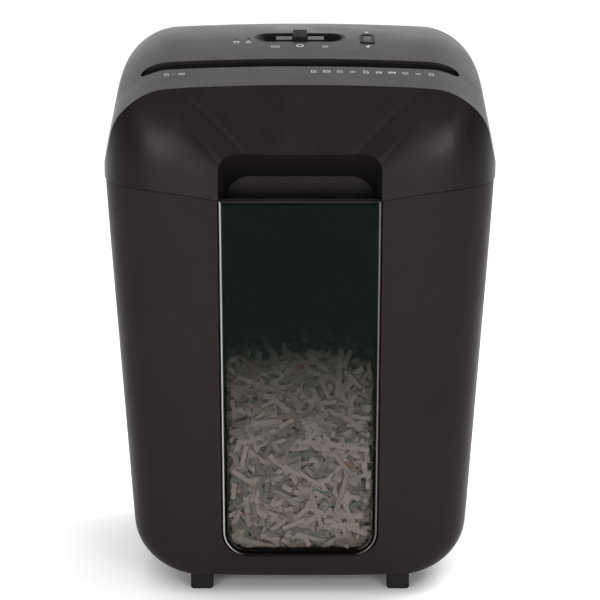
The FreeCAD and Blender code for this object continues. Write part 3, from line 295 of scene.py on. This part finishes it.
# ---- mesh helpers ----
def make_piece(name, vertices, faces, material, body, smooth=True):
    mesh = bpy.data.meshes.new(name)
    mesh.from_pydata(vertices, [], faces)
    mesh.validate()
    mesh.update()
    if smooth:
        mesh.polygons.foreach_set("use_smooth", [True] * len(mesh.polygons))
    mesh.materials.append(material)
    piece = bpy.data.objects.new(name, mesh)
    bpy.context.scene.collection.objects.link(piece)
    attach(piece, body)
    return piece


# ---- shredded paper ----
STRIP_WIDTH = 3.9 * MM
STRIP_LENGTHS = (14, 22, 30, 36)        # millimetres
STRIP_STEPS = 6
STRIP_COUNT, MOST_TRIES = 3300, 30000

SEAM_Z = 0.3122                         # where the bin ends and the head begins
BASE_Z, BASE_ROUND, FLOOR_TOP = 0.014, 0.032, 0.0172
SIDE_X, SIDE_WALL, SIDE_TAPER = 0.1466, 0.0026, 0.0624
BACK_Y, BACK_WALL, BACK_TAPER = 0.110, 0.0034, 0.024
FRONT_Y, FRONT_LEAN = 0.1127, 0.033
FRONT_WALL, WALL_BESIDE, RECESS_SIDE = 0.0106, 0.0080, 0.063
WINDOW_BACK = 0.0049                    # from the front's plane to the window's inner face
OPEN_HALF, OPEN_LOW, OPEN_HIGH, OPEN_CORNER = 0.0546, 0.0369, 0.300, 0.0138
BAY_BACK = -0.06
HEAP_Z, FRONT_SHREDS_HIGH, LEVEL_FROM = 0.186, 0.197, 0.12


def bin_room(point, margin):
    """True where the point is inside the bin's walls by this margin."""
    taper = SIDE_TAPER * (SEAM_Z - point.z)
    half_x = SIDE_X - SIDE_WALL - taper - margin
    rise = point.z - BASE_Z
    if rise < BASE_ROUND:
        half_x -= BASE_ROUND - math.sqrt(max(BASE_ROUND**2 - (BASE_ROUND - rise)**2, 0.0))
    back = BACK_Y - BACK_WALL - BACK_TAPER * (SEAM_Z - point.z) - margin
    front = FRONT_Y - FRONT_LEAN * (SEAM_Z - point.z) - FRONT_WALL - margin
    if abs(point.x) > RECESS_SIDE:
        front += WALL_BESIDE
    y_limit = front if point.y < 0 else back
    ratio = (abs(point.x) / half_x)**6 + (abs(point.y) / y_limit)**6
    return ratio < 1.0 and point.z > FLOOR_TOP + margin


def window_back(z):
    """The plane of the window's inner face."""
    return -(FRONT_Y - FRONT_LEAN * (SEAM_Z - z)) + WINDOW_BACK


def in_bay(point):
    """True in the shallow bay behind the window, or in the bin."""
    if bin_room(point, 0.0008):
        return True
    if abs(point.x) > OPEN_HALF or not OPEN_LOW < point.z < OPEN_HIGH:
        return False
    side = abs(point.x) - (OPEN_HALF - OPEN_CORNER)
    below = OPEN_LOW + OPEN_CORNER - point.z
    if side > 0 and below > 0 and math.hypot(side, below) > OPEN_CORNER:
        return False
    return window_back(point.z) + 0.0003 < point.y < BAY_BACK


def heap_top(x, y):
    """The heap's uneven upper surface."""
    return (HEAP_Z + 0.006 * math.sin(31 * x + 1.3) * math.cos(24 * y) + 0.004 * math.sin(57 * y + 90 * x)
            - 0.006 * (abs(x) / 0.13)**2)


def strip_points(rng, centre, along, across, normal, length, curl, twist):
    """Two rows of points for a strip that curls out of its plane and twists along its length."""
    rows = []
    half = rng.uniform(0.8, 1.1) * STRIP_WIDTH / 2
    for i in range(STRIP_STEPS + 1):
        t = i / STRIP_STEPS - 0.5
        s = t * length
        angle = curl * t
        lift = length / max(abs(curl), 0.05) * (1 - math.cos(angle)) * (1 if curl > 0 else -1)
        turn = twist * t
        side = across * math.cos(turn) + normal * math.sin(turn)
        middle = centre + along * s * (1 - angle * angle / 8) + normal * lift
        rows.append((middle - side * half, middle + side * half))
    return rows


def add_strip(store, rng, centre, facing, tilt, flat):
    """Adds one strip lying roughly across the facing direction, if all of it fits in the bay or the bin."""
    normal = (facing + Vector((rng.gauss(0, tilt), rng.gauss(0, tilt), rng.gauss(0, tilt)))).normalized()
    level = Vector((0, 0, 1)) if abs(facing.z) < 0.5 else Vector((0, 1, 0))
    sideways = normal.cross(level).normalized()
    up = sideways.cross(normal)
    angle = rng.gauss(0, 0.55) if rng.random() < flat else rng.uniform(-math.pi / 2, math.pi / 2)
    along = sideways * math.cos(angle) + up * math.sin(angle)
    across = normal.cross(along)
    length = rng.choice(STRIP_LENGTHS) * MM * rng.uniform(0.8, 1.1)
    rows = strip_points(rng, centre, along, across, normal, length, rng.gauss(0, 0.8), rng.gauss(0, 0.6))
    if not all(in_bay(p) for row in rows for p in row):
        return
    vertices, faces, tones = store
    first = len(vertices)
    for a, b in rows:
        vertices += [a, b]
    for i in range(STRIP_STEPS):
        k = first + 2 * i
        faces.append((k, k + 1, k + 3, k + 2))
    tones += [rng.random()] * (2 * (STRIP_STEPS + 1))


def place_at_window(rng):
    """A place just behind the window and the share of strips nearly level there, or None above the heap."""
    z = rng.uniform(OPEN_LOW, FRONT_SHREDS_HIGH)
    depth = 0.0008 + 0.013 * rng.random()**1.3
    centre = Vector((rng.uniform(-OPEN_HALF, OPEN_HALF), window_back(z) + depth, z))
    if z > heap_top(centre.x, centre.y) + rng.uniform(-0.008, 0.008):
        return None
    return centre, 0.35 + 0.5 * (z > LEVEL_FROM)


def place_on_heap(rng):
    """A place on the heap's upper surface, where no strip is made to lie level."""
    x, y = rng.uniform(-0.13, 0.13), rng.uniform(-0.10, 0.10)
    return Vector((x, y, heap_top(x, y) + rng.uniform(-0.010, 0.005))), 0.0


def scatter(rng, place, facing, tilt):
    """Vertices, faces and tones of loose strips, until there are enough or the tries run out."""
    store = ([], [], [])
    tries = 0
    while len(store[1]) < STRIP_COUNT * STRIP_STEPS and tries < MOST_TRIES:
        tries += 1
        found = place(rng)
        if found:
            centre, flat = found
            add_strip(store, rng, centre, Vector(facing), tilt, flat)
    return store


def paper_piece(name, vertices, faces, tones):
    """A piece of shredded paper with a tone for each of its points."""
    piece = make_piece(name, vertices, faces, paper, "bin")
    attribute = piece.data.attributes.new("strip_tone", "FLOAT", "POINT")
    attribute.data.foreach_set("value", tones)
    return piece


def make_shreds():
    rng = random.Random(4)
    at_window = scatter(rng, place_at_window, (0, -1, 0), 0.28)
    on_top = scatter(rng, place_on_heap, (0, 0, 1), 0.4)
    return [paper_piece("shreds_at_window", *at_window), paper_piece("shreds_on_top", *on_top)]


CORE_SIDES, CORE_ROWS, CORE_RINGS = 96, 26, 12
CORE_LOW, CORE_HIGH, CORE_MARGIN = 0.0195, 0.172, 0.010
REACH_STEP, REACH_STEPS = 0.003, 60


def core_reach(c, s, z):
    """How far from the middle the core may go in one direction before it comes near a wall."""
    reach = 0.0
    for step in range(1, REACH_STEPS):
        trial = Vector((c * step * REACH_STEP, s * step * REACH_STEP, z))
        if not bin_room(trial, CORE_MARGIN):
            break
        reach = step * REACH_STEP
    return reach


def heap_core(rng):
    """Vertices and faces of the lumpy mass of paper beneath the loose strips."""
    vertices, faces = [], []
    for k in range(CORE_ROWS):
        z = CORE_LOW + (CORE_HIGH - CORE_LOW) * k / (CORE_ROWS - 1)
        for i in range(CORE_SIDES):
            angle = 2 * math.pi * i / CORE_SIDES
            c, s = math.cos(angle), math.sin(angle)
            reach = core_reach(c, s, z)
            reach *= 1.0 - 0.012 * rng.random()
            vertices.append(Vector((c * reach, s * reach, z)))
    for _ in range(CORE_SIDES):
        rng.random()                    # passed over, so that the lumps on top keep the shape they have
    for k in range(CORE_ROWS - 1):
        for i in range(CORE_SIDES):
            j = (i + 1) % CORE_SIDES
            low, high = k * CORE_SIDES, (k + 1) * CORE_SIDES
            faces.append((low + i, low + j, high + j, high + i))
    faces.append(tuple(reversed(range(CORE_SIDES))))
    previous = (CORE_ROWS - 1) * CORE_SIDES
    outline = vertices[previous:]
    for r in range(1, CORE_RINGS + 1):
        share = 1 - r / (CORE_RINGS + 1)
        start = len(vertices)
        for p in outline:
            x, y = p.x * share, p.y * share
            vertices.append(Vector((x, y, heap_top(x, y) - 0.009 + 0.003 * rng.random())))
        for i in range(CORE_SIDES):
            j = (i + 1) % CORE_SIDES
            faces.append((previous + i, previous + j, start + j, start + i))
        previous = start
    faces.append(tuple(previous + i for i in range(CORE_SIDES)))
    return vertices, faces


def make_heap_core():
    rng = random.Random(9)
    vertices, faces = heap_core(rng)
    return paper_piece("shreds_core", vertices, faces, [0.15 + 0.4 * rng.random() for _ in vertices])


for shred_piece in make_shreds() + [make_heap_core()]:
    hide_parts("paper_shreds")


# ---- printed symbols on the head ----
# Places and sizes from here to the slider's plates are in millimetres, seen from above.
surface = BVHTree.FromObject(NODES["head_cover"], bpy.context.evaluated_depsgraph_get())
ABOVE_HEAD, INK_LIFT = 0.6, 0.00012     # metres


def on_head(x, y):
    """The point of the head's top at (x, y), lifted by a hair."""
    hit, normal, _, _ = surface.ray_cast(Vector((x * MM, y * MM, ABOVE_HEAD)), Vector((0, 0, -1)))
    return hit + normal * INK_LIFT


def stroke(points, width, closed=False):
    """A line of short quads along the points."""
    quads = []
    pairs = list(zip(points, points[1:] + ([points[0]] if closed else [])))
    for (x0, y0), (x1, y1) in pairs:
        length = math.hypot(x1 - x0, y1 - y0) or 1.0
        ox, oy = -(y1 - y0) / length * width / 2, (x1 - x0) / length * width / 2
        quads.append([(x0 + ox, y0 + oy), (x0 - ox, y0 - oy), (x1 - ox, y1 - oy), (x1 + ox, y1 + oy)])
    return quads


def circle(cx, cy, radius, steps=20, squash=1.0):
    turns = [2 * math.pi * k / steps for k in range(steps)]
    return [(cx + radius * math.cos(turn), cy + squash * radius * math.sin(turn)) for turn in turns]


def rect(cx, cy, w, h):
    left, right, low, high = cx - w / 2, cx + w / 2, cy - h / 2, cy + h / 2
    return [(left, low), (right, low), (right, high), (left, high)]


def arrow(cx, cy, size, way):
    back, tip = cx - way * size / 2, cx + way * size / 2
    return stroke([(back, cy + size), (tip, cy), (back, cy - size)], 0.55)


def padlock(cx, cy, is_open):
    shapes = [rect(cx, cy - 0.9, 2.6, 1.9)]
    shift = 1.1 if is_open else 0.0
    bow = [(cx + shift - 0.85, cy), (cx + shift - 0.85, cy + 1.3), (cx + shift, cy + 2.0),
           (cx + shift + 0.85, cy + 1.3), (cx + shift + 0.85, cy + (0.9 if is_open else 0.0))]
    return shapes + stroke(bow, 0.45)


def page(cx, cy):
    w, h, fold = 3.2, 4.2, 1.1
    outline = [(cx - w / 2, cy - h / 2), (cx + w / 2, cy - h / 2), (cx + w / 2, cy + h / 2 - fold),
               (cx + w / 2 - fold, cy + h / 2), (cx - w / 2, cy + h / 2)]
    shapes = stroke(outline, 0.4, True)
    for line_y in (cy + 0.5, cy - 0.6):
        shapes += stroke([(cx - 0.9, line_y), (cx + 0.8, line_y)], 0.35)
    return shapes


def card(cx, cy):
    return stroke(rect(cx, cy, 5.0, 3.2), 0.4, True) + [rect(cx, cy + 0.6, 4.6, 0.7)]


def disc(cx, cy):
    return stroke(circle(cx, cy, 2.1), 0.4, True) + stroke(circle(cx, cy, 0.6, 12), 0.3, True)


def strips_icon(cx, cy):
    shapes = stroke([(cx - 2.4, cy + 1.2), (cx + 2.4, cy + 1.2)], 0.45)
    for k in range(5):
        x = cx - 2.0 + k
        shapes += stroke([(x, cy + 0.6), (x, cy - 1.8 - 0.4 * (k % 2))], 0.38)
    return shapes


def clip_icon(cx, cy):
    return stroke([(cx - 2.0, cy + 0.8), (cx + 1.4, cy + 0.8), (cx + 2.0, cy), (cx + 1.4, cy - 0.8),
                   (cx - 1.6, cy - 0.8), (cx - 2.0, cy - 0.2), (cx + 0.9, cy - 0.2)], 0.35)


def symbols_piece(name, polygons, material):
    vertices, faces = [], []
    for polygon in polygons:
        first = len(vertices)
        vertices += [on_head(x, y) for x, y in polygon]
        flat = [Vector((x, y, 0)) for x, y in polygon]
        for tri in tessellate_polygon([flat]):
            a, b, c = [first + k for k in tri]
            if (vertices[b] - vertices[a]).cross(vertices[c] - vertices[a]).z < 0:
                b, c = c, b
            faces.append((a, b, c))
    make_piece(name, vertices, faces, material, "head")


INK = (0.42, 0.40, 0.385)
FAINT_INK = (0.40, 0.385, 0.37)
ink = moulded("printed_ink", INK, 0.5, grain=1800.0, depth=0.000004, level=0.3, spread=0.06)
faint_ink = moulded("faint_ink", FAINT_INK, 0.5, grain=1800.0, depth=0.000004, level=0.3, spread=0.06)

MODE_Y, ARROW_SIZE = -26.0, 1.9
LEFT_ARROWS_X, RIGHT_ARROWS_X = (-16.2, -18.6, -21.0), (17.8, 20.2)
BIN_LIGHT_X, HEAT_LIGHT_X = -48.0, -39.0
LOCK_X, LOCKED_Y, UNLOCKED_Y = 51.0, 9.5, -24.0
SLOT_ROW_Y, FEED_X, ROW_START_X, ROW_STEP = -70.0, -98.0, 10.0, 9.6


def control_shapes():
    """Signs for the slider, the two lights and the lock."""
    shapes = []
    for x in LEFT_ARROWS_X:
        shapes += arrow(x, MODE_Y, ARROW_SIZE, -1)
    shapes += stroke(circle(0.0, MODE_Y + 1.4, 2.4, 24, 0.9), 0.9, True)
    for x in RIGHT_ARROWS_X:
        shapes += arrow(x, MODE_Y, ARROW_SIZE, 1)
    shapes += stroke(rect(BIN_LIGHT_X, -16.6, 3.2, 2.8), 0.5, True)
    shapes += stroke([(BIN_LIGHT_X - 2.4, -14.6), (BIN_LIGHT_X + 2.4, -14.6)], 0.6)
    shapes += stroke(circle(HEAT_LIGHT_X, -16.8, 1.5, 14), 0.6, True)
    shapes += stroke([(HEAT_LIGHT_X, -15.6), (HEAT_LIGHT_X, -13.4)], 0.7)
    return shapes + padlock(LOCK_X, LOCKED_Y, False) + padlock(LOCK_X, UNLOCKED_Y, True)


def slot_shapes():
    """Signs along the slot: a page that becomes strips on the left, and a row of things to shred."""
    shapes = page(FEED_X, SLOT_ROW_Y)
    shapes += stroke([(FEED_X + 4.0, SLOT_ROW_Y), (FEED_X + 6.5, SLOT_ROW_Y)], 0.4)
    shapes += strips_icon(FEED_X + 11.0, SLOT_ROW_Y)
    signs = (page, card, disc, clip_icon, page, strips_icon, card, disc, clip_icon, page)
    for k, sign in enumerate(signs):
        shapes += sign(ROW_START_X + ROW_STEP * k, SLOT_ROW_Y)
    return shapes


symbols_piece("control_symbols", control_shapes(), ink)
symbols_piece("slot_symbols", slot_shapes(), faint_ink)


# ---- plates on the slider's wings ----
WING_START, WING_END, WING_FRONT, WING_REAR = 5.5, 18.3, -10.4, -1.6
PLATE_FOOT = 0.41285                    # metres: where the plates begin, a hair above the slider's own wings
BESIDE_BED = 38.0
EDGE_DROP, TOP_DROP, TOP_INSET = 0.75, 0.35, 0.4


def wing_plates():
    """Two plates with bevelled tops, which end just below the level of the cover beside the slider's bed."""
    vertices, faces = [], []
    for side in (-1, 1):
        x0, x1 = sorted((side * WING_START, side * WING_END))
        rings = []
        for inset, drop in ((0.0, None), (0.0, EDGE_DROP), (TOP_INSET, TOP_DROP)):
            corners = ((x0 + inset, WING_FRONT + inset), (x1 - inset, WING_FRONT + inset),
                       (x1 - inset, WING_REAR - inset), (x0 + inset, WING_REAR - inset))
            rings.append(len(vertices))
            for x, y in corners:
                z = PLATE_FOOT if drop is None else on_head(BESIDE_BED, y).z - drop * MM
                vertices.append(Vector((x * MM, y * MM, z)))
        for low, high in zip(rings, rings[1:]):
            faces += [(low + i, low + (i + 1) % 4, high + (i + 1) % 4, high + i) for i in range(4)]
        faces.append(tuple(rings[-1] + i for i in range(4)))
        faces.append(tuple(rings[0] + i for i in (3, 2, 1, 0)))
    make_piece("slider_wing_plates", vertices, faces, shell_grey, "control_slider", False)


wing_plates()


# ---- room, light and camera ----
def soft_light(name, place, aim, width, height, power):
    data = bpy.data.lights.new(name, "AREA")
    data.shape = "RECTANGLE"
    data.size, data.size_y = width, height
    data.energy = power
    lamp = bpy.data.objects.new(name, data)
    lamp.location = place
    lamp.rotation_euler = (Vector(aim) - Vector(place)).to_track_quat("-Z", "Y").to_euler()
    bpy.context.scene.collection.objects.link(lamp)


FLOOR_HALF = 14.0


def make_floor():
    mesh = bpy.data.meshes.new("floor")
    r = FLOOR_HALF
    mesh.from_pydata([(-r, -r, 0), (r, -r, 0), (r, r, 0), (-r, r, 0)], [], [(0, 1, 2, 3)])
    material, tree, bsdf = node_material("pale_floor")
    coords = add(tree, "ShaderNodeTexCoord").outputs["Object"]
    cloud = noise(tree, coords, 2.0, 3.0)
    tree.links.new(ramp(tree, cloud, [(0.3, 0.86), (0.7, 0.88)]), bsdf.inputs["Base Color"])
    bsdf.inputs["Roughness"].default_value = 0.9
    bsdf.inputs["Specular IOR Level"].default_value = 0.0
    mesh.materials.append(material)
    floor = bpy.data.objects.new("floor", mesh)
    bpy.context.scene.collection.objects.link(floor)


DOME_AXIS = (0.0, 0.45, 0.893)          # up and a little back
DOME_TONES = [(0.0, 0.04), (0.32, 0.06), (0.62, 1.05), (1.0, 2.0)]


def make_world():
    """Soft studio dome: bright overhead and behind, dim in front."""
    world = bpy.data.worlds.new("studio")
    world.use_nodes = True
    tree = world.node_tree
    direction = add(tree, "ShaderNodeTexCoord").outputs["Generated"]
    dot = add(tree, "ShaderNodeVectorMath", operation="DOT_PRODUCT")
    dot.inputs[1].default_value = DOME_AXIS
    tree.links.new(direction, dot.inputs[0])
    sky = ramp(tree, remap(tree, dot.outputs["Value"], -0.4, 1.0, 0.0, 1.0), DOME_TONES)
    tree.links.new(sky, tree.nodes["Background"].inputs["Color"])
    bpy.context.scene.world = world


make_floor()
make_world()
FRONT_AIM = (0, -0.05, 0.33)
soft_light("left_box", (-0.72, -1.42, 0.56), FRONT_AIM, 0.5, 0.45, 10.0)
soft_light("right_box", (0.74, -1.42, 0.56), FRONT_AIM, 0.5, 0.45, 9.0)
for side, name in ((-1, "left"), (1, "right")):
    soft_light(name + "_low_box", (0.29 * side, -1.27, 0.21), (0.08 * side, -0.11, 0.34), 0.20, 0.20, 0.95)
    soft_light(name + "_high_box", (0.24 * side, -1.02, 0.92), (0.10 * side, -0.11, 0.36), 0.15, 0.15, 0.5)
soft_light("top_box", (0.75, 0.25, 1.05), (0, 0, 0.38), 0.6, 0.6, 9.0)

SENSOR_MM, LENS_MM = 36.0, 137.87
CAMERA_AT, CAMERA_TILT = (0.0, -1.7427, 0.6746), 75.0
bpy.context.scene.view_settings.view_transform = "Standard"
camera_data = bpy.data.cameras.new("camera")
camera_data.sensor_width, camera_data.lens = SENSOR_MM, LENS_MM
camera = bpy.data.objects.new("camera", camera_data)
camera.location = CAMERA_AT
camera.rotation_euler = (math.radians(CAMERA_TILT), 0.0, 0.0)
bpy.context.scene.collection.objects.link(camera)
bpy.context.scene.camera = camera
